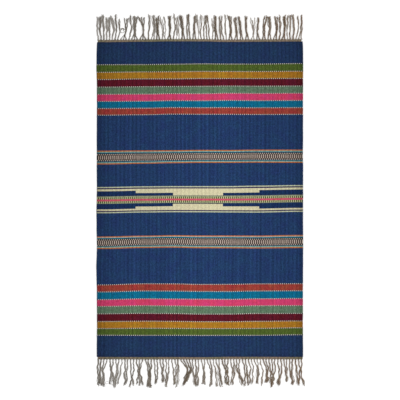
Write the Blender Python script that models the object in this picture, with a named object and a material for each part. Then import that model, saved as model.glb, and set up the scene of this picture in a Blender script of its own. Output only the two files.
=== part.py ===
"""A flat-woven kilim with a warp fringe at each end, lying flat.

Metres, +Z up, +Y along the warps. The cloth is one thin slab with a slightly
uneven outline. Each fringe is a narrow woven heading whose warp ends run on
from it as strands: their roots are one piece with the heading, and from there
on they lie apart, resting on the floor.
"""

import bmesh
import bpy
import numpy as np
from mathutils import Vector

MM = 0.001

# The woven cloth
CLOTH_WIDTH = 0.900
CLOTH_LENGTH = 1.376
CLOTH_THICK = 0.004
CORNER = 0.006
END_STATIONS = 36

# The headings and their strands
HEADING_WIDTH = 0.893
HEADING_DEPTH = 0.0105
HEADING_THICK = 0.003
HEADING_GAP = 0.00035
ROOT_SPAN = 0.887
STRAND_BASE = 0.0040
STRAND_TOP = 0.0026
STRAND_PITCH_LEAST = 0.0046
STRAND_WAVE = 0.0009
WAVES_LEAST, WAVES_MOST = 0.7, 1.4
LENGTH_SPREAD = 0.003
STATIONS = np.array([0, 14, 30, 48, 66, 84, 120]) * MM
DRAW_AT = 0.45

# How far the cloth's sides stand from its middle line.
# Columns: along the cloth, left side, right side, in mm.
SIDES = np.array([
    (-650, 450.0, 449.1),
    (-545, 448.8, 449.1),
    (-405, 449.3, 449.6),
    (-300, 451.3, 450.0),
    (-195, 450.1, 451.4),
    (-55, 451.7, 450.1),
    (50, 449.2, 450.8),
    (190, 449.5, 447.8),
    (225, 451.8, 449.7),
    (400, 448.8, 450.5),
    (505, 449.1, 449.7),
    (575, 451.5, 450.2),
    (645, 450.8, 450.2),
    (680, 449.0, 449.5),
]) * MM

# How far the cloth's ends stand out past their mean line.
# Columns: across the cloth, bottom end, top end, in mm.
ENDS = np.array([
    (-423, 1.5, 0.0),
    (-240, 0.9, 1.1),
    (-117, 0.9, 2.0),
    (5, 1.1, 1.7),
    (127, -0.4, -0.9),
    (249, -0.7, 0.0),
    (433, -0.9, -2.0),
]) * MM

# The locks that the strands lie in, from -X to +X.
# Columns: strands in the lock, its shift and width where it draws together,
# its shift and width at the tips, and its length, in mm.
TOP_LOCKS = [
    (2, -6, 11, -4, 12, 103),
    (2, -10, 9, -10, 5, 110),
    (2, -11, 10, -13, 11, 97),
    (2, -11, 20, -14, 19, 108),
    (1, -5, 0, -10, 0, 94),
    (2, 3, 5, 4, 17, 97),
    (3, 5, 15, 7, 24, 101),
    (4, 4, 14, -2, 28, 102),
    (1, 3, 0, 3, 0, 107),
    (4, 2, 26, 6, 30, 105),
    (2, 1, 14, -6, 12, 97),
    (3, 6, 20, 3, 22, 99),
    (3, -1, 20, -2, 16, 101),
    (2, 6, 10, 10, 5, 107),
    (3, -1, 15, 4, 11, 100),
    (2, 3, 6, 2, 10, 101),
    (2, -6, 7, 3, 13, 104),
    (2, -6, 12, -7, 18, 98),
    (2, -4, 5, -6, 9, 108),
    (2, -10, 10, -7, 12, 105),
    (1, -5, 0, -5, 0, 107),
    (3, -3, 12, -9, 14, 103),
    (1, -6, 0, -9, 0, 98),
    (2, -5, 5, -12, 5, 101),
    (2, -6, 5, -6, 8, 101),
    (2, 1, 5, 0, 20, 103),
    (1, 0, 0, 7, 0, 98),
    (3, 0, 14, 6, 10, 104),
    (2, 0, 8, 0, 6, 103),
    (3, 6, 15, 2, 16, 103),
    (2, 9, 11, 7, 6, 102),
    (3, 3, 18, 1, 16, 106),
    (3, 6, 18, 3, 20, 99),
]
BOTTOM_LOCKS = [
    (3, -9, 9, -10, 11, 112),
    (2, -18, 5, -20, 10, 106),
    (2, -15, 5, -20, 12, 105),
    (1, -4, 0, -22, 0, 110),
    (1, -6, 0, -17, 0, 108),
    (2, -2, 5, -12, 12, 106),
    (1, 0, 0, 6, 0, 108),
    (2, -7, 5, -17, 6, 110),
    (3, -15, 9, -11, 26, 108),
    (3, -9, 9, -10, 20, 107),
    (2, -11, 12, -12, 8, 100),
    (2, -3, 9, -4, 8, 104),
    (2, -7, 10, -15, 10, 114),
    (1, -7, 0, -7, 0, 110),
    (2, -8, 9, -11, 5, 110),
    (4, 6, 14, -12, 20, 106),
    (2, -2, 14, -2, 10, 104),
    (2, 0, 10, 4, 8, 106),
    (2, 12, 5, 11, 9, 108),
    (1, 10, 0, 14, 0, 109),
    (2, 10, 8, 16, 8, 112),
    (2, 8, 6, 14, 6, 112),
    (3, 3, 12, 0, 18, 104),
    (1, -8, 0, 1, 0, 106),
    (2, 1, 14, 9, 5, 104),
    (2, 0, 9, 0, 5, 108),
    (2, -3, 9, -10, 6, 107),
    (2, 0, 5, -4, 12, 110),
    (2, 8, 10, 8, 5, 104),
    (3, 10, 12, -3, 10, 116),
    (2, 7, 10, 7, 20, 108),
    (2, 3, 5, 5, 5, 101),
    (2, 1, 12, 10, 8, 105),
    (1, 6, 0, 10, 0, 110),
    (2, 4, 6, 7, 24, 107),
]


def clear_scene():
    for thing in list(bpy.data.objects):
        bpy.data.objects.remove(thing, do_unlink=True)


def plain_material(name, colour, roughness):
    material = bpy.data.materials.new(name)
    material.use_nodes = True
    shader = material.node_tree.nodes["Principled BSDF"]
    shader.inputs["Base Color"].default_value = (*colour, 1.0)
    shader.inputs["Roughness"].default_value = roughness
    shader.inputs["Metallic"].default_value = 0.0
    return material


def eased(at, table, column):
    """A column of a table read at the given places, level at each of its stations."""
    stations = table[:, 0]
    row = np.clip(np.searchsorted(stations, at) - 1, 0, len(stations) - 2)
    share = np.clip((at - stations[row]) / (stations[row + 1] - stations[row]), 0, 1)
    share = share * share * (3 - 2 * share)
    return table[row, column] * (1 - share) + table[row + 1, column] * share


def end_line(across, end):
    """How far along Y the cloth's end lies; end is -1 for the bottom one and 1 for the top one."""
    column = 1 if end < 0 else 2
    return end * (CLOTH_LENGTH / 2 + eased(across, ENDS, column))


def side_line(along, side):
    """How far along X the cloth's side lies; side is -1 for the left one and 1 for the right one."""
    column = 1 if side < 0 else 2
    return side * eased(along, SIDES, column)


def cloth_outline():
    """The cloth's outline, counter-clockwise from the bottom left corner's end."""
    across = np.linspace(-1, 1, END_STATIONS) * (CLOTH_WIDTH / 2 - CORNER)
    along = SIDES[1:-1, 0]
    low = end_line(across, -1)
    high = end_line(across, 1)
    bottom = np.stack([across, low], axis=1)
    top = np.stack([across, high], axis=1)[::-1]
    right_along = np.concatenate([[low[-1] + CORNER], along, [high[-1] - CORNER]])
    left_along = np.concatenate([[low[0] + CORNER], along, [high[0] - CORNER]])
    right = np.stack([side_line(right_along, 1), right_along], axis=1)
    left = np.stack([side_line(left_along, -1), left_along], axis=1)[::-1]
    return np.concatenate([bottom, right, top, left])


def make_cloth(collection):
    points = cloth_outline()
    curve = bpy.data.curves.new("kilim_cloth", "CURVE")
    curve.dimensions = "2D"
    curve.fill_mode = "BOTH"
    curve.extrude = CLOTH_THICK / 2
    spline = curve.splines.new("POLY")
    spline.points.add(len(points) - 1)
    for point, (x, y) in zip(spline.points, points):
        point.co = (x, y, 0.0, 1.0)
    spline.use_cyclic_u = True
    curve.materials.append(plain_material("woven wool", (0.018, 0.047, 0.13), 0.9))
    cloth = bpy.data.objects.new("kilim_cloth", curve)
    cloth.location.z = CLOTH_THICK / 2
    collection.objects.link(cloth)
    return cloth


def parted(across):
    """The places across each row, pushed apart to the least pitch, to both sides alike."""
    steps = np.arange(across.shape[1]) * STRAND_PITCH_LEAST
    to_right = np.maximum.accumulate(across - steps, axis=1) + steps
    flipped = (across - steps)[:, ::-1]
    to_left = np.minimum.accumulate(flipped, axis=1)[:, ::-1] + steps
    return (to_right + to_left) / 2


def strand_lay(locks, seed):
    """Where the strands run: their places across, a row for each station, and their lengths.

    A lock's middle goes from its roots to where the lock draws together and on
    to its tips, and its width goes the same way, so each strand keeps its place
    in the lock. A slight wave of its own is added to each strand.
    """
    table = np.array(locks, float)
    counts = table[:, 0].astype(int)
    total = counts.sum()
    root = np.linspace(-ROOT_SPAN / 2, ROOT_SPAN / 2, total)
    pitch = root[1] - root[0]
    lock = np.repeat(np.arange(len(counts)), counts)
    first = np.cumsum(counts) - counts
    rank = np.arange(total) - first[lock]
    place = rank / np.maximum(counts[lock] - 1, 1) - 0.5 * (counts[lock] > 1)
    middle = root[first[lock]] + pitch * (counts[lock] - 1) / 2
    draw, draw_width, tip, tip_width, length = table[lock, 1:].T * MM

    gone = np.clip(STATIONS[:, None] / length, 0, 1)
    to_draw = np.clip(gone / DRAW_AT, 0, 1)
    to_draw = to_draw * to_draw * (3 - 2 * to_draw)
    to_tip = np.clip((gone - DRAW_AT) / (1 - DRAW_AT), 0, 1)
    shift = draw * to_draw + (tip - draw) * to_tip
    root_width = pitch * (counts[lock] - 1)
    width = root_width + (draw_width - root_width) * to_draw + (tip_width - draw_width) * to_tip

    chance = np.random.default_rng(seed)
    phase = chance.uniform(0, 1, total)
    waves = chance.uniform(WAVES_LEAST, WAVES_MOST, total)
    wave = STRAND_WAVE * np.sin(2 * np.pi * (phase + waves * gone)) * to_draw
    across = parted(middle + shift + place * width + wave)
    length = length + chance.uniform(-LENGTH_SPREAD, LENGTH_SPREAD, total)
    return root, across, length


def heading_grid(mesh_maker, root, end):
    """The heading's outer face, a grid of one row whose every other column is a strand's root.

    Gives back the root faces in the order of the strands.
    """
    columns = 2 * len(root) + 1
    bmesh.ops.create_grid(mesh_maker, x_segments=columns, y_segments=1, size=0.5)
    faces = sorted(mesh_maker.faces, key=lambda face: face.calc_center_median().x)
    for corner in mesh_maker.verts:
        edge = round((corner.co.x + 0.5) * columns)
        above = corner.co.y > 0
        strand = min(max((edge - 1) // 2, 0), len(root) - 1)
        half = (STRAND_TOP if above else STRAND_BASE) / 2
        x = root[strand] + (-half if edge % 2 else half)
        if edge == 0:
            x = -HEADING_WIDTH / 2
        if edge == columns:
            x = HEADING_WIDTH / 2
        y = end_line(root[strand], end) + end * (HEADING_GAP + HEADING_DEPTH)
        corner.co = (x, y, HEADING_THICK if above else 0.0)
    return faces[1::2]


def draw_out(mesh_maker, face, x, across, length, end):
    """Draws a root face out into its strand, station by station."""
    stops = STATIONS[1:][STATIONS[1:] < length - STRAND_BASE]
    stops = np.append(stops, length)
    gone = 0.0
    for stop, place in zip(stops, np.interp(stops, STATIONS, across)):
        face = bmesh.ops.extrude_discrete_faces(mesh_maker, faces=[face])["faces"][0]
        step = (place - x, end * (stop - gone), 0)
        bmesh.ops.translate(mesh_maker, verts=face.verts, vec=step)
        x, gone = place, stop


def make_fringe(name, end, locks, seed, material, collection):
    """A heading and its strands, as one body; end is -1 for the bottom one and 1 for the top one."""
    root, across, length = strand_lay(locks, seed)
    mesh_maker = bmesh.new()
    root_faces = heading_grid(mesh_maker, root, end)
    grown = bmesh.ops.extrude_face_region(
        mesh_maker, geom=list(mesh_maker.faces), use_keep_orig=True
    )
    inner = [part for part in grown["geom"] if isinstance(part, bmesh.types.BMVert)]
    bmesh.ops.translate(mesh_maker, verts=inner, vec=(0, -end * HEADING_DEPTH, 0))
    for strand, face in enumerate(root_faces):
        draw_out(mesh_maker, face, root[strand], across[:, strand], length[strand], end)
    bmesh.ops.recalc_face_normals(mesh_maker, faces=mesh_maker.faces)
    mesh = bpy.data.meshes.new(name)
    mesh_maker.to_mesh(mesh)
    mesh_maker.free()
    mesh.materials.append(material)
    fringe = bpy.data.objects.new(name, mesh)
    collection.objects.link(fringe)
    return fringe


def centre_on_origin(parts):
    """Moves the parts together so that the middle of their common box is over the origin."""
    bpy.context.view_layer.update()
    corners = np.array([part.matrix_world @ Vector(corner) for part in parts for corner in part.bound_box])
    middle = (corners.min(axis=0) + corners.max(axis=0)) / 2
    for part in parts:
        part.location.x -= middle[0]
        part.location.y -= middle[1]


def main():
    clear_scene()
    collection = bpy.data.collections.new("kilim")
    bpy.context.scene.collection.children.link(collection)
    yarn = plain_material("fringe yarn", (0.30, 0.26, 0.21), 0.92)
    parts = [
        make_cloth(collection),
        make_fringe("fringe_top", 1, TOP_LOCKS, 5, yarn, collection),
        make_fringe("fringe_bottom", -1, BOTTOM_LOCKS, 8, yarn, collection),
    ]
    centre_on_origin(parts)


main()
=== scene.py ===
"""A flat-woven kilim with a warp fringe at each end, lying flat and seen from above.

Metres, +Z up, +Y along the warps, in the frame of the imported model.
"""

import math

import bpy
import numpy as np
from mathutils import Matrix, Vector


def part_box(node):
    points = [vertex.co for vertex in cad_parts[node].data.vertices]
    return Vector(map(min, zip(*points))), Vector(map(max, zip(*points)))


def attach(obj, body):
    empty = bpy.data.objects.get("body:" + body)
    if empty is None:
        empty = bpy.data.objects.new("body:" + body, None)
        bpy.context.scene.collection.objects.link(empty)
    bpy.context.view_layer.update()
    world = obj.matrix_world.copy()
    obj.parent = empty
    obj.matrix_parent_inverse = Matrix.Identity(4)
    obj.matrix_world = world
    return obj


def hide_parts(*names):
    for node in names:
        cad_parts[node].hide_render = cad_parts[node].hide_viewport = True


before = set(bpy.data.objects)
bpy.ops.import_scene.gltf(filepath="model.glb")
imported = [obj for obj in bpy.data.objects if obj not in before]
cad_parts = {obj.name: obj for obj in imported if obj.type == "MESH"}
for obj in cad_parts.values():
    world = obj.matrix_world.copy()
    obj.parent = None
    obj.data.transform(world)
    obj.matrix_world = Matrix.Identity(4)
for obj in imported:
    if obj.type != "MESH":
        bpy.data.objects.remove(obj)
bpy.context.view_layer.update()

MM = 0.001

# The weave. RIB is a warp's rise above the valleys beside it, and PICK one row of weft.
# A band is drawn as rows of at most ROW_MOST mm.
WARPS = 210
CLOTH_WIDTH = 0.900
CLOTH_LENGTH = 1.376
CLOTH_THICK = 0.0037
RIB = 0.00035
PICK = 0.0011
ROW_MOST = 31.0

# The cloth's middle, across and along from the low corner of its CAD box
CORNER_TO_MIDDLE = (0.4518, 0.6895)

# How far the warps wander, and the waves that they wander by: waves in a metre across and
# along, and where the wave starts. They die away over the outer WANDER_EDGE of each half.
WANDER = 0.0002
WANDER_WAVES = ((9.0, 1.3, 0.0), (3.7, -2.1, 0.3), (15.0, 0.6, 0.7))
WANDER_EDGE = 0.2

# The selvedges' small nubs: their height, and two waves that are multiplied, in radians
# for each metre
NUBS = 0.0003
NUB_WAVES = (977.0, 311.0)

# The headings, by end: 1 is the top one and -1 the bottom one. Each lies over the gap that
# the CAD leaves and is tucked into the cloth's end. Its hue drifts by chance, evened out
# over HEADING_DRIFT warps.
HEADING_SIDES = {1: (-0.4455, 0.4436), -1: (-0.4460, 0.4485)}
HEADING_DEPTH = 0.0092
HEADING_THICK = 0.0030
HEADING_GAP = 0.00035
HEADING_TUCK = 0.0012
HEADING_ROWS = 3
HEADING_WARPS = 208
HEADING_DRIFT = 25
OLIVE = np.array([116, 110, 88])
REDDISH = np.array([130, 114, 98])

# The strands. Their roots span ROOT_SPAN and are tucked into the heading. A thread is
# RINGS rings of PLY_SIDES points, and WAY is each ring's share of its length.
ROOT_SPAN = 0.887
ROOT_TUCK = 0.0015
RINGS = 38
WAY = np.linspace(0, 1, RINGS)
PLY_SIDES = 5

# A strand's plies. At the root they stand PLY_SPREAD apart and are PLY_AT_ROOT as thick.
# They are bound together after BOUND_BY, with one turn for each TWIST, and have come down
# to the floor after SETTLED_BY. Towards the tip they fray and thin out, each from a share
# of the way and over a share of it.
PLY_SPREAD = 0.0040
PLY_RADIUS = 0.00094
PLY_AT_ROOT = 0.75
TWIST = 0.016
BOUND_BY = 0.009
SETTLED_BY = 0.03
FRAYED = (0.84, 0.16)
THINNED = (0.93, 0.07)
THINNED_BY = 0.30

# How high a strand that lies over its neighbours is lifted, in radii of its plies
STACKED = 3.4

# The undyed yarn's two tones, each at the left side and at the right side
BROWN = np.array([(102, 95, 84), (127, 104, 83)])
GREY = np.array([(180, 176, 171), (173, 163, 152)])

# The weave's tone rises and falls over this many warps
WAVE_WARPS = 4.1

# The light that falls on the floor, as a share of what makes white look white
LIGHT = 1.16

# Half the floor's width, and the camera's place beside the cloth's middle and its height
FLOOR_HALF = 12.0
CAMERA_ASIDE = (0.0004, -0.0028)
CAMERA_HEIGHT = 4.854

# How far the cloth's sides stand from its middle line.
# Columns: along the cloth, left side, right side, in mm.
SIDES = np.array([
    (-670, 450.2, 450.5),
    (-600, 449.9, 449.9),
    (-545, 449.0, 449.4),
    (-470, 449.7, 450.1),
    (-405, 449.6, 449.9),
    (-300, 452.2, 450.5),
    (-195, 449.6, 450.9),
    (-120, 451.3, 450.5),
    (-55, 451.7, 450.3),
    (50, 449.8, 450.7),
    (120, 450.3, 450.9),
    (190, 449.9, 449.7),
    (300, 450.3, 450.6),
    (400, 449.5, 450.4),
    (505, 449.7, 450.4),
    (575, 451.7, 450.9),
    (645, 451.0, 450.7),
    (672, 450.4, 450.4),
    (688, 449.1, 448.7),
]) * MM

# How far the picks bow towards the top end.
# Columns: along the cloth, then seven places across it, in mm.
BOW_ACROSS = np.array([-423, -240, -117, 5, 127, 249, 433]) * MM
BOW = np.array([
    (-688, 0.2, -0.3, 0.0, -0.8, 0.9, 0.8, 0.2),
    (-593, 0.4, -0.1, 0.1, -0.5, -0.1, -0.1, 2.2),
    (-563, -1.4, -0.1, -0.6, -1.2, -1.5, -0.8, 2.0),
    (-499, -0.7, 1.1, 0.3, -2.2, -2.1, 0.5, 0.8),
    (-435, -2.6, 1.2, 0.3, -0.3, -1.4, 1.1, 2.4),
    (-370, -3.6, 1.3, 1.0, -1.6, -1.2, 0.8, 1.5),
    (-213, -3.6, 0.8, 2.1, -0.3, -0.6, -1.6, 0.3),
    (-158, -3.9, -0.3, 1.8, 0.4, 0.5, 0.1, 3.0),
    (-57, -3.7, -0.5, 0.9, 0.6, -0.2, -0.8, 2.5),
    (58, -3.9, -1.0, -0.1, -0.1, 0.0, 2.2, 4.6),
    (158, -5.8, -2.5, 0.0, 1.5, 1.4, 2.1, 1.6),
    (215, -2.4, -1.3, -0.6, 1.0, 0.6, 2.2, 2.3),
    (370, -2.2, -0.3, 2.4, 1.7, 1.6, 0.7, 1.5),
    (462, -2.8, -2.1, -0.1, -0.2, 2.0, 1.1, 2.0),
    (526, -2.9, -0.1, -0.3, 1.3, 1.5, 1.2, 1.8),
    (590, -2.0, -1.3, 0.1, 1.9, 0.9, 0.7, 3.0),
    (688, -2.0, 0.0, 1.6, 1.5, -1.0, 0.0, 1.2),
]) * MM

# How far the warps lie to the right of their even places.
# Columns: along the cloth, then ten places across it, in mm.
WARP_SHIFT_ACROSS = np.array([-450, -375, -290, -190, -90, 20, 130, 250, 360, 450]) * MM
WARP_SHIFT = np.array([
    (-590, 0.0, 2.1, 2.1, 2.1, 2.0, 3.5, -0.2, -0.8, -0.5, 0.0),
    (-480, 0.0, 2.1, 2.3, 2.1, 1.6, 3.1, 0.3, 0.0, -0.5, 0.0),
    (-367, 0.0, 1.5, 2.1, 2.0, 2.0, 3.4, 0.2, -0.4, -0.5, 0.0),
    (-183, 0.0, 0.9, 1.8, 1.5, 2.3, 3.0, 0.8, 0.6, 0.6, 0.0),
    (0, 0.0, -0.3, 1.6, 2.4, 2.7, 3.1, 2.1, 2.0, 1.2, 0.0),
    (185, 0.0, -0.8, 1.4, 1.8, 2.7, 3.2, 2.9, 3.2, 2.6, 0.0),
    (367, 0.0, 1.2, 1.6, 2.1, 2.3, 2.5, 3.1, 4.1, 3.4, 0.0),
    (480, 0.0, 1.8, 1.6, 1.4, 1.8, 2.6, 2.2, 2.6, 3.2, 0.0),
    (590, 0.0, 1.4, 2.0, 1.4, 1.4, 3.6, 1.6, 1.8, 3.0, 0.0),
]) * MM

# Painted shade across the cloth: the wool's colour is darkened towards both sides, most at the selvedges.
# Columns: across, in mm, and tone, the share of the colour kept.
PAINTED_SHADE_ACROSS = np.array([
    (-450, 0.52),
    (-436, 0.64),
    (-418, 0.71),
    (-395, 0.79),
    (-360, 0.85),
    (-300, 0.89),
    (-200, 0.90),
    (-120, 0.96),
    (-50, 1.00),
    (90, 1.03),
    (180, 0.97),
    (250, 0.94),
    (330, 0.92),
    (400, 0.87),
    (422, 0.82),
    (434, 0.70),
    (450, 0.62),
])

# How much of its tone a metre of cloth loses towards the top end
TONE_FALL = 0.12

# How the cloth lies a little off the floor, as crossing waves.
# Columns: waves in a metre across and along, where the wave starts, and its height in mm.
LIE = np.array([
    (0.55, 1.30, 0.10, 0.45),
    (1.90, 0.35, 0.55, 0.25),
    (-1.20, 2.10, 0.30, 0.20),
    (3.10, 1.10, 0.80, 0.12),
])

# The dyed wools, as their colours show in daylight, from 0 to 255.
DYES = {
    "end navy": (32, 54, 90),
    "navy": (34, 59, 101),
    "deep navy": (26, 48, 88),
    "green": (77, 96, 39),
    "mustard": (167, 116, 33),
    "burgundy": (90, 20, 36),
    "sage": (94, 121, 97),
    "pink": (207, 64, 108),
    "teal": (9, 106, 140),
    "rust": (154, 62, 53),
    "white": (200, 194, 186),
    "orange": (186, 110, 54),
    "pale teal": (130, 168, 162),
    "deep teal": (12, 62, 86),
    "sea teal": (0, 80, 106),
    "bright teal": (4, 112, 134),
    "umber": (30, 20, 20),
    "ecru": (190, 172, 160),
    "cream": (214, 207, 170),
    "pale cream": (190, 196, 164),
    "plum": (46, 32, 82),
    "dusk": (84, 80, 86),
    "stone": (150, 158, 128),
    "moss": (52, 66, 20),
    "straw": (194, 194, 148),
    "rose": (206, 84, 108),
}

# A dotted line's height in mm, and the painted shade on the wool between its dots, as the share of its
# colour kept
DOTTED = 3.5
PAINTED_GAP_SHADE = 0.30

# The bands from the top end down. Columns: height in mm, dye or pattern, and the warp,
# 0 or 1, that the dotted line above the band starts on, or None where it has no such line.
BANDS = [
    (98.3, "end navy", None),
    (32.5, "green", 0),
    (31.1, "mustard", 0),
    (33.2, "burgundy", 1),
    (31.1, "sage", 0),
    (31.7, "pink", 1),
    (31.2, "teal", 1),
    (29.1, "rust", 1),
    (154.9, "navy", 1),
    (56.7, "top border", None),
    (100.3, "navy", None),
    (114.7, "centre", None),
    (101.3, "navy", None),
    (54.4, "bottom border", None),
    (157.1, "navy", None),
    (31.1, "rust", 1),
    (34.1, "teal", 1),
    (30.6, "pink", 1),
    (33.0, "sage", 1),
    (33.5, "burgundy", 0),
    (30.5, "mustard", 1),
    (30.6, "green", 0),
    (94.8, "end navy", 0),
]

# The borders' rows from the top down. Columns: height in mm, dye, second dye, and the warp
# that it starts on.
TOP_BORDER = [
    (4.6, "orange", None, None),
    (4.0, "pale teal", None, None),
    (4.3, "sea teal", None, None),
    (0.9, "umber", None, None),
    (4.9, "umber", "ecru", 0),
    (1.8, "umber", None, None),
    (16.1, "umber", "ecru", 1),
    (1.8, "umber", None, None),
    (4.9, "umber", "ecru", 0),
    (4.5, "sea teal", None, None),
    (4.1, "pale teal", None, None),
    (4.5, "orange", None, None),
]
BOTTOM_BORDER = [
    (3.7, "orange", None, None),
    (3.1, "ecru", None, None),
    (4.6, "bright teal", None, None),
    (2.0, "umber", None, None),
    (4.4, "umber", "ecru", 0),
    (1.5, "umber", None, None),
    (16.6, "umber", "ecru", 1),
    (1.3, "umber", None, None),
    (4.6, "umber", "ecru", 0),
    (3.5, "deep teal", None, None),
    (4.8, "pale teal", None, None),
    (4.8, "orange", None, None),
]

# The centre's rows. Columns as above, but a second dye may lie beyond the outer or the
# inner steps, which are given by their left and right ends.
STEPS = {"outer": (-284 * MM, 257 * MM), "inner": (-122 * MM, 97 * MM)}
CENTRE = [
    (4.8, "pale cream", None, None),
    (5.5, "plum", None, None),
    (8.4, "cream", None, None),
    (10.3, "cream", "deep navy", "outer"),
    (11.3, "cream", "deep navy", "inner"),
    (1.4, "dusk", None, None),
    (3.9, "stone", None, None),
    (8.7, "moss", "straw", 0),
    (8.4, "rose", None, None),
    (8.7, "moss", "straw", 0),
    (1.8, "stone", None, None),
    (4.2, "dusk", "deep navy", "inner"),
    (10.5, "cream", "deep navy", "inner"),
    (9.4, "cream", "deep navy", "outer"),
    (7.0, "cream", None, None),
    (4.9, "plum", None, None),
    (4.8, "pale cream", None, None),
]
PATTERNS = {"top border": TOP_BORDER, "centre": CENTRE, "bottom border": BOTTOM_BORDER}

# The locks that the strands lie in, from -X to +X.
# Columns: strands in the lock, its shift and width where it draws together, its shift and
# width at the tips, its length, in mm, and its strands' thickness and tone, from 0 for
# brown to 1 for pale grey. A width below nothing crosses the strands.
TOP_LOCKS = [
    (1, -6, 0, -3, 0, 107, 1.20, 0.70),
    (1, -4, 0, -4, 0, 105, 1.40, 0.40),
    (1, -2, 0, -5, 0, 113, 1.30, 0.50),
    (1, 1, 0, -1, 0, 103, 1.30, 0.60),
    (1, 1, 0, 1, 0, 103, 1.30, 0.55),
    (1, 8, 0, -4, 0, 103, 1.10, 0.70),
    (1, 6, 0, 3, 0, 110, 1.45, 0.10),
    (1, 8, 0, 7, 0, 92, 1.25, 0.30),
    (3, 11, 4, 14, 17, 97, 1.00, 0.30),
    (1, 10, 0, 7, 0, 107, 1.10, 0.25),
    (3, 2, 7, 3, 15, 103, 1.15, 0.30),
    (3, 2, 3, -6, -28, 103, 1.30, 0.15),
    (1, 3, 0, 3, 0, 110, 1.40, 0.15),
    (2, 8, 6, 3, 4, 107, 1.00, 0.45),
    (2, -3, 4, -3, 11, 103, 1.40, 0.10),
    (2, 3, 9, -8, 16, 101, 0.70, 0.75),
    (2, 3, 3, 1, 8, 105, 1.40, 0.10),
    (1, 8, 0, 1, 0, 110, 1.00, 0.45),
    (2, 2, 7, -4, 7, 101, 0.70, 0.65),
    (2, -3, 5, -12, 7, 106, 1.40, 0.20),
    (2, -4, 10, -2, 4, 110, 1.30, 0.25),
    (2, -1, 4, 2, 4, 106, 1.40, 0.25),
    (1, 0, 0, -4, 0, 107, 0.70, 0.70),
    (1, -2, 0, -1, 0, 105, 1.00, 0.40),
    (3, -2, 21, -2, 10, 108, 1.10, 0.30),
    (1, 1, 0, -2, 0, 96, 0.80, 0.70),
    (2, -5, 4, -6, 7, 108, 1.40, 0.25),
    (2, -6, 8, -7, 12, 108, 1.35, 0.35),
    (1, -5, 0, -4, 0, 110, 0.80, 0.50),
    (2, 2, 4, -2, 10, 106, 1.35, 0.15),
    (2, 1, 4, -5, 7, 99, 1.25, 0.20),
    (2, -4, 3, -12, 3, 103, 1.10, 0.30),
    (2, -4, 4, -6, 5, 106, 1.30, 0.20),
    (2, 4, 1, 0, -19, 101, 0.70, 0.65),
    (2, -5, 3, 1, 4, 96, 1.20, 0.30),
    (2, 0, 6, 8, 11, 104, 1.35, 0.15),
    (2, 2, 4, -1, 7, 105, 1.10, 0.30),
    (2, 8, 4, 4, 10, 104, 1.40, 0.20),
    (1, 5, 0, 2, 0, 108, 1.25, 0.25),
    (2, 6, 3, 5, 5, 106, 1.40, 0.15),
    (1, -1, 0, 1, 0, 107, 0.80, 0.60),
    (2, 1, 16, -1, 9, 108, 1.60, 0.25),
    (1, 12, 0, 7, 0, 102, 1.25, 0.30),
    (2, 6, 4, 7, 4, 106, 0.90, 0.30),
]
BOTTOM_LOCKS = [
    (2, -4, 6, -2, 11, 117, 1.40, 0.30),
    (2, -11, 4, -13, 7, 117, 1.10, 0.35),
    (2, -1, 4, 0, 17, 107, 1.15, 0.30),
    (2, -1, 7, -16, 4, 123, 1.05, 0.35),
    (1, -3, 0, -19, 0, 115, 0.90, 0.60),
    (2, 0, 10, -4, 4, 110, 1.15, 0.35),
    (2, -1, 17, -3, -19, 117, 1.10, 0.30),
    (3, -3, 7, 0, 26, 115, 1.25, 0.30),
    (3, 4, 7, 5, 16, 121, 1.25, 0.20),
    (2, 3, 11, 1, 3, 106, 1.20, 0.25),
    (2, 3, 3, 7, 4, 108, 1.25, 0.40),
    (2, 0, 11, -7, -5, 121, 0.90, 0.45),
    (1, 6, 0, 9, 0, 108, 0.90, 0.50),
    (2, 4, 10, -4, 9, 117, 1.15, 0.35),
    (4, 18, 13, -5, 11, 113, 1.40, 0.20),
    (3, 2, 20, 3, 12, 117, 1.10, 0.30),
    (2, 5, 3, 6, 8, 114, 0.95, 0.45),
    (2, 12, 3, 11, 10, 118, 1.05, 0.35),
    (1, 10, 0, 14, 0, 116, 0.90, 0.50),
    (2, 8, 3, 16, 6, 120, 1.10, 0.35),
    (3, 6, 10, 10, 13, 115, 1.35, 0.20),
    (2, 4, 6, -1, 9, 113, 1.00, 0.35),
    (2, -1, 5, 21, 5, 108, 1.20, 0.15),
    (2, 8, 5, 11, 19, 115, 1.25, 0.20),
    (2, 8, 13, 3, 9, 113, 1.00, 0.40),
    (2, 9, 4, 7, 4, 114, 0.95, 0.50),
    (1, 10, 0, 6, 0, 123, 0.70, 0.60),
    (2, 11, 4, 7, 8, 108, 1.25, 0.15),
    (3, 3, 17, -2, 3, 121, 1.20, 0.20),
    (2, 4, 10, -3, 3, 117, 1.30, 0.20),
    (2, 2, 3, 7, 3, 106, 1.20, 0.20),
    (2, -2, 5, 8, 5, 110, 1.15, 0.30),
    (1, 6, 0, 11, 0, 117, 1.40, 0.20),
    (2, 2, 3, 8, 20, 113, 1.30, 0.15),
]

# The share of its way at which a lock's middle is where the lock draws together, and the
# share at which the lock has its width there, by end
DRAW_AT = 0.45
GATHER_AT = {1: 0.28, -1: 0.58}

# A strand's own three waves: how many there are on its way, and how tall they are, each at
# the least and at the most, and by how much an end's crimp makes them taller
WAVE_COUNT = ((0.6, 1.8, 4.0), (1.3, 3.2, 6.5))
WAVE_HEIGHT = ((0.0004, 0.0002, 0.0001), (0.0013, 0.0009, 0.0004))
CRIMP = {1: (1.0, 1.4, 2.0), -1: (1.4, 2.5, 3.8)}

# How far a strand's length may differ from its lock's, by end
LENGTH_SPREAD = {1: 0.003, -1: 0.006}

# About how close its neighbours are when every other strand of a lock climbs over them
CLOSE = 0.0045

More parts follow.
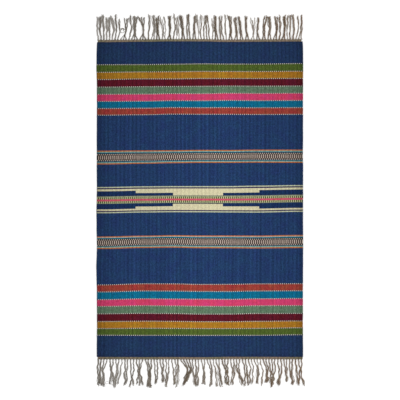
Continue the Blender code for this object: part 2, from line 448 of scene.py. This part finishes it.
# A loose thread's chances, each at the least and at the most: the shares of its strand's
# way where it starts and ends, where it starts beside the strand, how far it drifts, how
# far it sways and how often, and its radius
LOOSE_START = (0, 0.3)
LOOSE_END = (0.85, 1.04)
LOOSE_BESIDE = (-0.0025, 0.0025)
LOOSE_DRIFT = (-0.006, 0.006)
LOOSE_SWAY = (0.0006, 0.0025)
LOOSE_SWAYS = (0.7, 2.4)
LOOSE_RADIUS = (0.00060, 0.00120)

# The share of its way over which a strand's waves and a loose thread's drift set in
SET_IN = 0.2

# How many single threads have come loose beside a strand.
# Columns: across the cloth, in mm, at the top end and at the bottom end.
LOOSE = np.array([
    (-450, 7.0, 7.0),
    (-390, 8.5, 6.0),
    (-345, 1.4, 4.2),
    (-300, 1.4, 3.8),
    (-240, 2.6, 4.0),
    (-60, 2.4, 3.9),
    (70, 2.6, 2.8),
    (200, 2.4, 3.0),
    (450, 1.6, 3.8),
])

# Threads that curl into loops. LOOP_RADIUS is that of a thread as thick as 1, and LOOP_WIND
# the share of its reach that it loses as it winds inwards.
LOOP_RADIUS = 0.0011
LOOP_WIND = 0.15

# Columns: across the cloth, out from the heading, radius, in mm, first and last turn in
# degrees, thickness and tone.
TOP_LOOPS = [
    (-339, 40, 11, 15, 345, 0.8, 0.4),
    (-338, 44, 5, -60, 200, 1.1, 0.1),
    (-116, 92, 6, 20, 200, 0.6, 0.5),
    (228, 60, 5, -60, 150, 0.4, 0.8),
]
BOTTOM_LOOPS = [
    (-407, 104, 6, 30, 330, 0.5, 0.6),
    (-66, 84, 7, -40, 220, 0.6, 0.5),
    (297, 86, 7, 0, 330, 1.1, 0.2),
    (319, 87, 9, 40, 385, 1.1, 0.2),
]

# Each end's locks, loops, and the seed of its chance
FRINGES = {1: (TOP_LOCKS, TOP_LOOPS, 5), -1: (BOTTOM_LOCKS, BOTTOM_LOOPS, 8)}

# The cloth's middle, on the floor
low_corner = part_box("kilim_cloth")[0]
MIDDLE = np.array([low_corner[0] + CORNER_TO_MIDDLE[0], low_corner[1] + CORNER_TO_MIDDLE[1], 0.0])


def linear(colour):
    """A colour from 0 to 255 as the share of light that the wool gives back.

    It is divided by the light on the floor, so that it shows as it is given.
    """
    share = np.asarray(colour, float) / 255
    share = np.where(share <= 0.04045, share / 12.92, ((share + 0.055) / 1.055) ** 2.4)
    return share / LIGHT


def smooth(share):
    """Three times a share's square less twice its cube, so it leaves 0 and reaches 1 level."""
    share = np.clip(share, 0, 1)
    return share * share * (3 - 2 * share)


def eased(at, table, column):
    """A column of a table read at the given places, level at each of its stations."""
    stations = table[:, 0]
    row = np.clip(np.searchsorted(stations, at) - 1, 0, len(stations) - 2)
    share = smooth((at - stations[row]) / (stations[row + 1] - stations[row]))
    return table[row, column] * (1 - share) + table[row + 1, column] * share


def shift_at(table, places, across, along):
    """A shift read from a table of lines along the cloth and places across it.

    Straight between the lines, and eased between the places.
    """
    at_places = np.stack([np.interp(along, table[:, 0], column) for column in table[:, 1:].T], axis=-1)
    place = np.clip(np.searchsorted(places, across) - 1, 0, len(places) - 2)
    share = smooth((across - places[place]) / (places[place + 1] - places[place]))
    low = np.take_along_axis(at_places, place[..., None], -1)[..., 0]
    high = np.take_along_axis(at_places, place[..., None] + 1, -1)[..., 0]
    return low + (high - low) * share


def bow(across, along):
    """How far a pick has moved towards the top end at a place."""
    return shift_at(BOW, BOW_ACROSS, across, along)


def end_bow(across, end):
    """The bow of the cloth's last pick at an end."""
    return bow(across, np.full_like(across, end * CLOTH_LENGTH / 2))


def ripple(across, along, turns_across, turns_along, start):
    """A wave over the floor: the sine of its turns across and along, and of its start."""
    return np.sin(2 * np.pi * (turns_across * across + turns_along * along + start))


def lie(across, along):
    """How far the underside is off the floor: a sum of waves, raised so that none dips below."""
    height = 0.0
    for turns_across, turns_along, start, rise in LIE:
        height = height + rise * MM * (1 + ripple(across, along, turns_across, turns_along, start)) / 2
    return height


def wander(across, along):
    """How far a warp strays to the side: a sum of waves, none at the selvedges."""
    stray = sum(ripple(across, along, *wave) for wave in WANDER_WAVES)
    inward = 1 - np.abs(across) / (CLOTH_WIDTH / 2)
    return WANDER * stray * np.clip(inward, 0, WANDER_EDGE) / WANDER_EDGE


def painted_shade_at(across):
    """The painted shade at a place across the cloth, as the share of the wool's colour kept there."""
    return np.interp(across, PAINTED_SHADE_ACROSS[:, 0] * MM, PAINTED_SHADE_ACROSS[:, 1])


def draft():
    """The weave's rows from the top end down: height, dye, its tone, second dye and its place.

    A dotted line takes half its height from each of the bands that it parts, and has painted shade between
    its dots, where the white lies under the warps; that shade is the row's tone. A tall band is several
    rows.
    """
    rows = []
    starts = [band[2] for band in BANDS[1:]] + [None]
    for (height, dye, dotted), next_dotted in zip(BANDS, starts):
        if dye in PATTERNS:
            pattern = PATTERNS[dye]
            scale = height / sum(row[0] for row in pattern)
            rows += [(row[0] * scale, row[1], 1.0, *row[2:]) for row in pattern]
            continue
        before = DOTTED / 2 if dotted is not None else 0
        after = DOTTED / 2 if next_dotted is not None else 0
        if before:
            # Painted shade between the dots: the band's dye, darkened
            rows.append((before, dye, PAINTED_GAP_SHADE, "white", dotted))
        body = height - before - after
        count = math.ceil(body / ROW_MOST)
        rows += [(body / count, dye, 1.0, None, None)] * count
        if after:
            # The same painted shade between the next line's dots
            rows.append((after, dye, PAINTED_GAP_SHADE, "white", next_dotted))
    return rows


def put_mesh(name, points, faces, material):
    """A piece made of the given points and faces, smooth all over."""
    mesh = bpy.data.meshes.new(name)
    mesh.from_pydata(points.tolist(), [], faces)
    mesh.polygons.foreach_set("use_smooth", np.ones(len(faces), bool))
    mesh.materials.append(material)
    mesh.update()
    piece = bpy.data.objects.new(name, mesh)
    bpy.context.scene.collection.objects.link(piece)
    return piece


def put_uv(mesh, name, places):
    """A UV map from one pair for each corner of each face."""
    layer = mesh.uv_layers.new(name=name)
    layer.data.foreach_set("uv", np.ascontiguousarray(places, np.float32).ravel())


def put_colour(mesh, name, colours, domain):
    """A colour for each face or point."""
    layer = mesh.color_attributes.new(name=name, type="FLOAT_COLOR", domain=domain)
    full = np.ones((len(colours), 4), np.float32)
    full[:, :3] = colours
    layer.data.foreach_set("color", full.ravel())


def weave_loop(warps, half):
    """A row line of weave, as a loop round the sheet.

    It goes over the face from left to right with a crest on each warp and a valley between
    two, round the right selvedge in a half circle, back underneath in the same way, and
    round the left selvedge. For each point: its share across, how far it stands out from a
    selvedge, its height from the sheet's middle, and how many warps it has passed.
    """
    stops = np.arange(2 * warps + 1) / 2
    share = stops / warps
    crest = np.abs(np.sin(np.pi * stops))
    turn = np.pi / 4 * np.array([1, 0, -1])
    quarters = np.array([1, 2, 3]) / 4
    loop_share = np.concatenate([share, np.ones(3), share[::-1], np.zeros(3)])
    outward = np.concatenate([0 * share, np.cos(turn), 0 * share, -np.cos(turn)]) * half
    height = np.concatenate([
        half + RIB * crest,
        half * np.sin(turn),
        -half - RIB * crest[::-1],
        -half * np.sin(turn),
    ])
    passed = np.concatenate([
        stops,
        warps + quarters,
        warps + 1 + stops,
        2 * warps + 1 + quarters,
        [2 * warps + 2],
    ])
    return loop_share, outward, height, passed


def weave_faces(lines, columns, warps):
    """The faces between the row lines, and those that close the sheet's two ends.

    An end is a strip of quads from the face to the back, with a fan of five corners at each
    selvedge.
    """
    index = np.arange(lines * columns).reshape(lines, columns)
    after = np.roll(index, -1, axis=1)
    between = np.stack([index[:-1], after[:-1], after[1:], index[1:]], axis=-1).reshape(-1, 4)
    over = np.arange(2 * warps + 1)
    under = columns - 4 - over
    strip = np.stack([over[:-1], under[:-1], under[1:], over[1:]], axis=-1)
    edge = 2 * warps
    right = [edge, edge + 4, edge + 3, edge + 2, edge + 1]
    left = [0, columns - 1, columns - 2, columns - 3, columns - 4]
    near = strip.tolist() + [right, left]
    last = (lines - 1) * columns
    far = [[last + corner for corner in corners[::-1]] for corners in near]
    return between.tolist(), near + far


def weave_uv(along, passed):
    """The warps and picks passed at each corner of the faces between the row lines."""
    picks = along / PICK
    column, line = np.meshgrid(np.arange(len(passed) - 1), np.arange(len(along) - 1))
    corners = [
        np.stack([passed[column + right], picks[line + up]], axis=-1)
        for right, up in ((0, 0), (1, 0), (1, 1), (0, 1))
    ]
    return np.stack(corners, axis=2).reshape(-1, 2)


def weave_colours(face, back):
    """The colour of each face of a sheet of weave, from those of its rows and warps.

    Each warp has two faces. The selvedges and the ends take the colours nearest to them.
    """
    between = np.concatenate([
        np.repeat(face, 2, axis=1),
        np.repeat(face[:, -1:], 4, axis=1),
        np.repeat(back[:, ::-1], 2, axis=1),
        np.repeat(face[:, :1], 4, axis=1),
    ], axis=1)
    near = np.concatenate([np.repeat(face[0], 2, axis=0), face[0, [-1, 0]]])
    far = np.concatenate([np.repeat(face[-1], 2, axis=0), face[-1, [-1, 0]]])
    return np.concatenate([between.reshape(-1, 3), near, far])


def woven_piece(name, place, along, thick, face, back, material):
    """A closed, ribbed sheet of weave, from its row lines and a colour for each row and warp.

    place(share across, along, half) gives a point's place on the floor; half is that of
    the thickness, less the rib. In the UV map the first number counts warps and the second
    counts picks.
    """
    warps = face.shape[1]
    half = thick / 2 - RIB
    loop_share, outward, height, passed = weave_loop(warps, half)
    share, line = np.meshgrid(loop_share, along)
    x, y = place(share, line, half)
    x = x + outward
    z = lie(x, y) + thick / 2 + height
    points = np.stack([x, y, z], axis=-1).reshape(-1, 3) + MIDDLE
    between, ends = weave_faces(len(along), len(height), warps)
    piece = put_mesh(name, points, between + ends, material)
    unused = np.zeros((sum(len(corners) for corners in ends), 2))
    put_uv(piece.data, "weave", np.concatenate([weave_uv(along, passed), unused]))
    put_colour(piece.data, "dye", weave_colours(face, back), "FACE")
    return piece


def cloth_place(share, line, half):
    """Where a place of the cloth lies: between its uneven sides, on its bowed pick."""
    nubs = NUBS * np.sin(line * NUB_WAVES[0]) * np.sin(line * NUB_WAVES[1])
    left = -eased(line, SIDES, 1) + half - nubs
    right = eased(line, SIDES, 2) - half + nubs
    x = left + (right - left) * share
    x = x + wander(x, line) + shift_at(WARP_SHIFT, WARP_SHIFT_ACROSS, x, line)
    return x, line + bow(x, line)


def make_cloth(material):
    """The woven cloth, with its draft's colours on the face.

    Underneath, the second dye of a dotted row lies on the other warps.
    """
    rows = draft()[::-1]
    along = np.concatenate([[0], np.cumsum([row[0] for row in rows])])
    along = (along / along[-1] - 0.5) * CLOTH_LENGTH
    warp = np.arange(WARPS)
    centre = ((warp + 0.5) / WARPS - 0.5) * CLOTH_WIDTH
    face = np.zeros((len(rows), WARPS, 3))
    back = np.zeros_like(face)
    for i, (_, dye, tone, second, where) in enumerate(rows):
        # tone is the painted shade between a dotted line's dots, and 1 elsewhere
        face[i] = tone * linear(DYES[dye])
        back[i] = face[i]
        if second is None:
            continue
        if where in STEPS:
            low, high = STEPS[where]
            on_face = (centre < low) | (centre > high)
            on_back = on_face
        else:
            on_face = warp % 2 == where
            on_back = ~on_face
        face[i, on_face] = linear(DYES[second])
        back[i, on_back] = linear(DYES[second])
    # Painted shade, darker towards both sides, times a tone that falls towards the top end
    tones = painted_shade_at(centre)[:, None]
    tones = tones * (1 - TONE_FALL * (along[:-1] + along[1:]) / 2)[:, None, None]
    face *= tones
    back *= tones
    return woven_piece("kilim_cloth_weave", cloth_place, along, CLOTH_THICK, face, back, material)


def make_heading(name, end, material):
    """The narrow woven band at an end, in undyed yarn between olive and reddish.

    Half of each hue, give or take the warp's drift, and with painted shade towards the sides, by the root
    of the cloth's painted shade there.
    """
    left, right = HEADING_SIDES[end]
    depth = np.linspace(-HEADING_TUCK, HEADING_DEPTH + HEADING_GAP, HEADING_ROWS + 1)
    along = np.sort(end * (CLOTH_LENGTH / 2 + depth))

    def place(share, line, half):
        x = left + half + (right - left - 2 * half) * share
        return x, line + end_bow(x, end)

    chance = np.random.default_rng(31 + end)
    drift = chance.normal(0, 1, HEADING_WARPS + HEADING_DRIFT - 1)
    drift = np.convolve(drift, np.ones(HEADING_DRIFT) / math.sqrt(HEADING_DRIFT), "valid")
    mix = np.clip(0.5 + 0.35 * drift, 0, 1)[:, None]
    shade = linear(OLIVE * (1 - mix) + REDDISH * mix)
    across = left + (right - left) * (np.arange(HEADING_WARPS) + 0.5) / HEADING_WARPS
    # Painted shade, darker towards the sides
    shade = shade * np.sqrt(painted_shade_at(across))[:, None]
    face = shade * chance.uniform(0.90, 1.10, (HEADING_ROWS, HEADING_WARPS, 1))
    return woven_piece(name, place, along, HEADING_THICK, face, face, material)


def tubes(paths, radius, shades, name, material):
    """Round threads along paths, closed at both ends, each of one shade.

    paths is threads x rings x 3, radius threads x rings. Each ring stands square to its
    path as seen from above: one arm lies level across the path and the other points up.
    """
    threads, rings = radius.shape
    ahead = np.gradient(paths, axis=1)
    ahead[..., 2] = 0
    ahead /= np.linalg.norm(ahead, axis=-1, keepdims=True)
    level = np.stack([ahead[..., 1], -ahead[..., 0], 0 * ahead[..., 0]], axis=-1)
    angle = 2 * np.pi * np.arange(PLY_SIDES) / PLY_SIDES
    upward = np.array([0.0, 0.0, 1.0])
    points = paths[:, :, None] + radius[:, :, None, None] * (
        np.cos(angle)[:, None] * level[:, :, None] + np.sin(angle)[:, None] * upward
    )
    index = np.arange(threads * rings * PLY_SIDES).reshape(threads, rings, PLY_SIDES)
    beside = np.roll(index, -1, axis=2)
    walls = np.stack([index[:, :-1], beside[:, :-1], beside[:, 1:], index[:, 1:]], axis=-1)
    faces = walls.reshape(-1, 4)[:, ::-1].tolist()
    faces += index[:, 0].tolist() + index[:, -1, ::-1].tolist()
    piece = put_mesh(name, points.reshape(-1, 3), faces, material)
    put_colour(piece.data, "dye", np.repeat(shades, rings * PLY_SIDES, axis=0), "POINT")
    return piece


def strand_lay(locks, end, chance):
    """The strands' middle lines: root, place across for each ring, lift, and length.

    A lock's middle goes from its roots to where the lock draws together and on to its
    tips. Its width goes the same way, and is drawn sooner at the top end and later at the
    bottom one, so each strand keeps its place in the lock. Three slight waves of its own
    are added to each strand. Every other strand of a lock lies over its neighbours where
    they are close. The lock's thickness and tone come last, for each strand.
    """
    table = np.array(locks, float)
    counts = table[:, 0].astype(int)
    total = counts.sum()
    root = np.linspace(-ROOT_SPAN / 2, ROOT_SPAN / 2, total)
    pitch = root[1] - root[0]
    lock = np.repeat(np.arange(len(counts)), counts)
    first = np.cumsum(counts) - counts
    rank = np.arange(total) - first[lock]
    gaps = np.maximum(counts[lock] - 1, 1)
    place = rank / gaps - 0.5 * (counts[lock] > 1)
    middle = root[first[lock]] + pitch * (counts[lock] - 1) / 2
    draw, draw_width, tip, tip_width, length = table[lock, 1:6].T * MM

    way = WAY[:, None]
    drawn = smooth(way / DRAW_AT)
    gathered = smooth(way / GATHER_AT[end])
    to_tip = np.clip((way - DRAW_AT) / (1 - DRAW_AT), 0, 1)
    shift = draw * drawn + (tip - draw) * to_tip
    root_width = pitch * (counts[lock] - 1)
    width = root_width + (draw_width - root_width) * gathered + (tip_width - draw_width) * to_tip
    waves = chance.uniform(*WAVE_COUNT, (total, 3))
    phase = chance.uniform(0, 1, (total, 3))
    tall = chance.uniform(*WAVE_HEIGHT, (total, 3)) * CRIMP[end]
    wave = (tall * np.sin(2 * np.pi * (phase + waves * way[..., None]))).sum(axis=-1)
    across = middle + shift + place * width + wave * smooth(way / SET_IN)
    lifted = np.where(rank % 2, 1.0, 0.0) * smooth(1.6 - np.abs(width) / gaps / CLOSE)
    length = length + LENGTH_SPREAD[end] * chance.uniform(-1, 1, total)
    return root, across.T, lifted.T, length, table[lock, 6], table[lock, 7]


def ply_paths(root, edge, across, lifted, length, thick, end, chance):
    """The plies, three to a strand, with their radii.

    A ply's middle runs round its strand's middle line on a helix, a third of a turn from
    the next ply's and about its own radius from the line. At the root the plies stand
    apart, one to each warp, and at the tip they part again and thin out. The helix lies
    just clear of the floor, plus what the strand is lifted.
    """
    total = len(root)
    plump = thick[:, None, None] * chance.uniform(0.90, 1.10, (total, 1, 1))
    ply = np.arange(3)[:, None]
    start = chance.uniform(0, 1, (total, 1, 1))
    run = length[:, None, None] * WAY
    bound = smooth(run / BOUND_BY)
    frayed = smooth((WAY - FRAYED[0]) / FRAYED[1])
    thinned = THINNED_BY * smooth((WAY - THINNED[0]) / THINNED[1])
    radius = PLY_RADIUS * plump * (1 - thinned) * (PLY_AT_ROOT + (1 - PLY_AT_ROOT) * bound)
    radius = radius * np.ones((1, 3, 1))
    reach = 0.95 * PLY_RADIUS * plump * bound * (1 + 1.2 * frayed)
    angle = 2 * np.pi * (ply / 3 + start + run / TWIST * (1 - 0.25 * frayed))
    fan = (ply - 1) * PLY_SPREAD * (1 - bound)
    x = across[:, None] + fan + reach * np.cos(angle)
    y = edge[:, None, None] + end * (run * chance.uniform(0.96, 1.02, (total, 3, 1)))
    lift = (lie(root, edge)[:, None, None] + 0.0004) * (1 - smooth(run / SETTLED_BY))
    over = STACKED * PLY_RADIUS * plump * lifted[:, None]
    z = radius + reach + lift + over + reach * np.sin(angle)
    paths = np.stack(np.broadcast_arrays(x, y, z), axis=-1)
    return paths.reshape(-1, RINGS, 3), radius.reshape(-1, RINGS)


def stray_paths(root, edge, across, length, end, chance):
    """Single threads that have come loose, with their radii.

    Each follows a strand over part of its way and drifts from it: its distance grows with
    the share of its own way gone and sways once or twice.
    """
    share = np.interp(root, LOOSE[:, 0] * MM, LOOSE[:, 1 if end > 0 else 2])
    which = np.repeat(np.arange(len(root)), (share + chance.random(len(root))).astype(int))
    shape = len(which), 1
    first = chance.uniform(*LOOSE_START, shape)
    way = first + (chance.uniform(*LOOSE_END, shape) - first) * WAY
    drift = chance.uniform(*LOOSE_DRIFT, shape) * WAY
    sway = chance.uniform(*LOOSE_SWAY, shape) * np.sin(
        2 * np.pi * (chance.uniform(0, 1, shape) + chance.uniform(*LOOSE_SWAYS, shape) * WAY)
    )
    ring = np.minimum((way * (RINGS - 1)).astype(int), RINGS - 2)
    beside = across[which[:, None], ring]
    beside = beside + (across[which[:, None], ring + 1] - beside) * (way * (RINGS - 1) - ring)
    x = beside + chance.uniform(*LOOSE_BESIDE, shape) + (drift + sway) * smooth(WAY / SET_IN)
    radius = chance.uniform(*LOOSE_RADIUS, shape) * np.ones(RINGS)
    y = edge[which, None] + end * length[which, None] * way
    return np.stack([x, y, radius + 0.0002], axis=-1), radius


def loop_paths(loops, end):
    """Threads that lie in part of a circle, a little wound inwards, with their radii."""
    across, out, size, first, last, thick = np.array(loops, float)[:, :6, None].swapaxes(0, 1)
    turn = np.radians(first + (last - first) * WAY)
    reach = size * MM * (1 - LOOP_WIND * WAY)
    x = across * MM + reach * np.cos(turn)
    y = end * (CLOTH_LENGTH / 2 + HEADING_DEPTH + out * MM) + reach * np.sin(turn)
    radius = LOOP_RADIUS * thick * np.ones(RINGS)
    return np.stack([x, y, radius * (1 + WAY)], axis=-1), radius


def yarn_shades(across, tones):
    """The undyed yarn's colour, from brown to grey, for each thread's root and tone."""
    side = across[:, None] / ROOT_SPAN + 0.5
    brown = BROWN[0] + (BROWN[1] - BROWN[0]) * side
    grey = GREY[0] + (GREY[1] - GREY[0]) * side
    return linear(brown + (grey - brown) * np.clip(tones, 0, 1)[:, None])


def make_strands(name, end, material):
    """The warp ends of one end of the cloth, three plies twisted to a strand.

    Loose single threads and loops lie among the strands.
    """
    locks, loops, seed = FRINGES[end]
    chance = np.random.default_rng(seed)
    root, across, lifted, length, thick, tone = strand_lay(locks, end, chance)
    edge = end * (CLOTH_LENGTH / 2 + HEADING_GAP + HEADING_DEPTH - ROOT_TUCK) + end_bow(root, end)
    plies, ply_radius = ply_paths(root, edge, across, lifted, length, thick, end, chance)
    strays, stray_radius = stray_paths(root, edge, across, length, end, chance)
    curls, curl_radius = loop_paths(loops, end)

    total = len(root)
    tones = tone[:, None] + chance.uniform(-0.12, 0.12, (total, 1)) + chance.uniform(-0.1, 0.1, (total, 3))
    stray_tones = chance.uniform(0.6, 1.0, len(strays))
    tones = np.concatenate([tones.ravel(), stray_tones, np.array(loops)[:, 6]])
    paths = np.concatenate([plies, strays, curls])
    shades = yarn_shades(paths[:, 0, 0], tones)
    radii = np.concatenate([ply_radius, stray_radius, curl_radius])
    return tubes(paths + MIDDLE, radii, shades, name, material)


def node(tree, kind, inputs=(), **values):
    """A shader node with its values set and its inputs linked or filled."""
    made = tree.nodes.new(kind)
    for key, value in values.items():
        setattr(made, key, value)
    for key, value in dict(inputs).items():
        if isinstance(value, bpy.types.NodeSocket):
            tree.links.new(value, made.inputs[key])
        else:
            made.inputs[key].default_value = value
    return made


def maths(tree, operation, *terms):
    """The result of one sum, whose terms are sockets or numbers."""
    return node(tree, "ShaderNodeMath", dict(enumerate(terms)), operation=operation).outputs[0]


def arch(tree, count):
    """Half a sine wave over each whole step of a count."""
    return maths(tree, "SINE", maths(tree, "MULTIPLY", maths(tree, "FRACT", count), math.pi))


def clouds(tree, place, scale, detail):
    """A cloudy pattern, from 0 to 1; scale is how many clouds there are to each unit."""
    inputs = {"Vector": place, "Scale": scale, "Detail": detail}
    return node(tree, "ShaderNodeTexNoise", inputs).outputs["Fac"]


def dashes(tree, uv, across, along):
    """A cloudy pattern drawn out along the warps: clouds to each warp and to each pick."""
    scaled = node(tree, "ShaderNodeMapping", {"Vector": uv, "Scale": (across, along, 1.0)}).outputs[0]
    return clouds(tree, scaled, 1.0, 1.0)


def weave_look(tree, dye):
    """The tone and the relief of the weave, from its UV map.

    Each warp is a rib of beads, and the beads of neighbouring ribs are half a bead apart.
    The tone differs by chance for each bead, in long streaks and in short dashes along the warps, and in a
    wave across them. The paler the dye, the less of this shows. On top of that, painted shade darkens the
    valleys between the ribs, and the crests are painted lighter.
    """
    uv = node(tree, "ShaderNodeUVMap", uv_map="weave").outputs["UV"]
    passed = node(tree, "ShaderNodeSeparateXYZ", {0: uv}).outputs
    warp = maths(tree, "FLOOR", passed["X"])
    half_pick = maths(tree, "MULTIPLY", maths(tree, "MODULO", warp, 2.0), 0.5)
    pick = maths(tree, "ADD", passed["Y"], half_pick)
    rib = arch(tree, passed["X"])
    bead = arch(tree, pick)
    cell = node(tree, "ShaderNodeCombineXYZ", {0: warp, 1: maths(tree, "FLOOR", pick)}).outputs[0]
    chance = node(tree, "ShaderNodeTexWhiteNoise", {"Vector": cell}, noise_dimensions="2D").outputs["Value"]
    streaks = dashes(tree, uv, 0.55, 0.0016)
    heather = dashes(tree, uv, 0.8, 0.14)
    wave = maths(tree, "SINE", maths(tree, "MULTIPLY", passed["X"], 2 * math.pi / WAVE_WARPS))
    uneven = 1.0
    for pattern, gain, base in (
        (chance, 0.30, 0.85),
        (streaks, 0.7, 0.65),
        (heather, 1.3, 0.35),
        (wave, 0.13, 1.0),
    ):
        uneven = maths(tree, "MULTIPLY", uneven, maths(tree, "MULTIPLY_ADD", pattern, gain, base))
    paleness = node(tree, "ShaderNodeSeparateColor", {0: dye}, mode="HSV").outputs["Blue"]
    shown = maths(tree, "MULTIPLY_ADD", paleness, -1.15, 1.1)
    evened = maths(tree, "MULTIPLY_ADD", maths(tree, "SUBTRACT", uneven, 1.0), shown, 1.0)
    # Painted shade in the valleys between ribs, and painted light on their crests
    tone = maths(tree, "MULTIPLY", evened, maths(tree, "MULTIPLY_ADD", rib, 0.62, 0.60))
    relief = maths(tree, "MULTIPLY", maths(tree, "POWER", rib, 0.7), maths(tree, "ADD", bead, 1.0))
    return tone, relief


def wool(name, ribbed):
    """Wool that is dyed by the piece's own colours, whose hue drifts in patches.

    It is either ribbed as the weave is, with painted shade in the valleys between ribs, or plain, with a
    tone that follows its fibres.
    """
    material = bpy.data.materials.new(name)
    material.use_nodes = True
    tree = material.node_tree
    shader = tree.nodes["Principled BSDF"]
    dye = node(tree, "ShaderNodeAttribute", attribute_name="dye").outputs["Color"]
    spot = node(tree, "ShaderNodeTexCoord").outputs["Object"]
    fibre = clouds(tree, spot, 900.0, 2.0)
    patch = clouds(tree, spot, 26.0, 3.0)
    if ribbed:
        tone, relief = weave_look(tree, dye)
    else:
        tone, relief = maths(tree, "MULTIPLY_ADD", fibre, 0.5, 0.75), fibre
    drift = maths(tree, "MULTIPLY_ADD", patch, 0.045, 0.4775)
    dyed = node(tree, "ShaderNodeHueSaturation", {"Hue": drift, "Value": tone, "Color": dye}).outputs[0]
    tree.links.new(dyed, shader.inputs["Base Color"])
    rough = maths(tree, "MULTIPLY_ADD", fibre, 0.2, 0.8)
    tree.links.new(rough, shader.inputs["Roughness"])
    shader.inputs["Specular IOR Level"].default_value = 0.06
    shader.inputs["Sheen Weight"].default_value = 0.02
    shader.inputs["Sheen Roughness"].default_value = 0.5
    bump = node(tree, "ShaderNodeBump", {"Strength": 0.6, "Distance": 0.0004, "Height": relief}).outputs[0]
    tree.links.new(bump, shader.inputs["Normal"])
    return material


def make_floor():
    """A wide pale floor."""
    material = bpy.data.materials.new("pale floor")
    material.use_nodes = True
    shader = material.node_tree.nodes["Principled BSDF"]
    shader.inputs["Base Color"].default_value = (0.93, 0.93, 0.93, 1)
    shader.inputs["Roughness"].default_value = 0.9
    corners = FLOOR_HALF * np.array([(-1, -1, 0), (1, -1, 0), (1, 1, 0), (-1, 1, 0)])
    floor = put_mesh("floor", corners, [[0, 1, 2, 3]], material)


def make_light():
    """Even, soft studio light: a bright room, a broad light and a weaker one to fill in."""
    world = bpy.data.worlds.new("studio")
    world.use_nodes = True
    world.node_tree.nodes["Background"].inputs["Color"].default_value = (1, 1, 1, 1)
    world.node_tree.nodes["Background"].inputs["Strength"].default_value = 0.62
    bpy.context.scene.world = world
    for name, tilt, turn, strength, spread in (
        ("key light", 38, 120, 1.75, 30),
        ("fill light", 50, -50, 0.6, 60),
    ):
        lamp = bpy.data.lights.new(name, "SUN")
        lamp.energy = strength
        lamp.angle = math.radians(spread)
        light = bpy.data.objects.new(name, lamp)
        light.rotation_euler = (math.radians(tilt), 0, math.radians(turn))
        bpy.context.scene.collection.objects.link(light)
    bpy.context.scene.view_settings.view_transform = "Standard"
    # The dotted lines are nearly as fine as the picture's pixels. The denoiser keeps them
    # only if its guides aren't smoothed first.
    bpy.context.scene.cycles.denoising_prefilter = "NONE"


def make_camera():
    """The camera straight above the cloth's middle."""
    lens = bpy.data.cameras.new("camera")
    lens.lens = 100
    lens.sensor_width = 36
    camera = bpy.data.objects.new("camera", lens)
    camera.location = (MIDDLE[0] + CAMERA_ASIDE[0], MIDDLE[1] + CAMERA_ASIDE[1], CAMERA_HEIGHT)
    bpy.context.scene.collection.objects.link(camera)
    bpy.context.scene.camera = camera


make_camera()
make_light()
make_floor()
weave = wool("woven wool", True)
yarn = wool("fringe yarn", False)
cloth = make_cloth(weave)
headings = [make_heading("heading_top", 1, weave), make_heading("heading_bottom", -1, weave)]
strands = [make_strands("strands_top", 1, yarn), make_strands("strands_bottom", -1, yarn)]
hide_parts("kilim_cloth")
for piece, old in zip(headings + strands, ("fringe_top", "fringe_bottom") * 2):
    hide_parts(old)
for piece in [cloth] + headings + strands:
    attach(piece, "root")
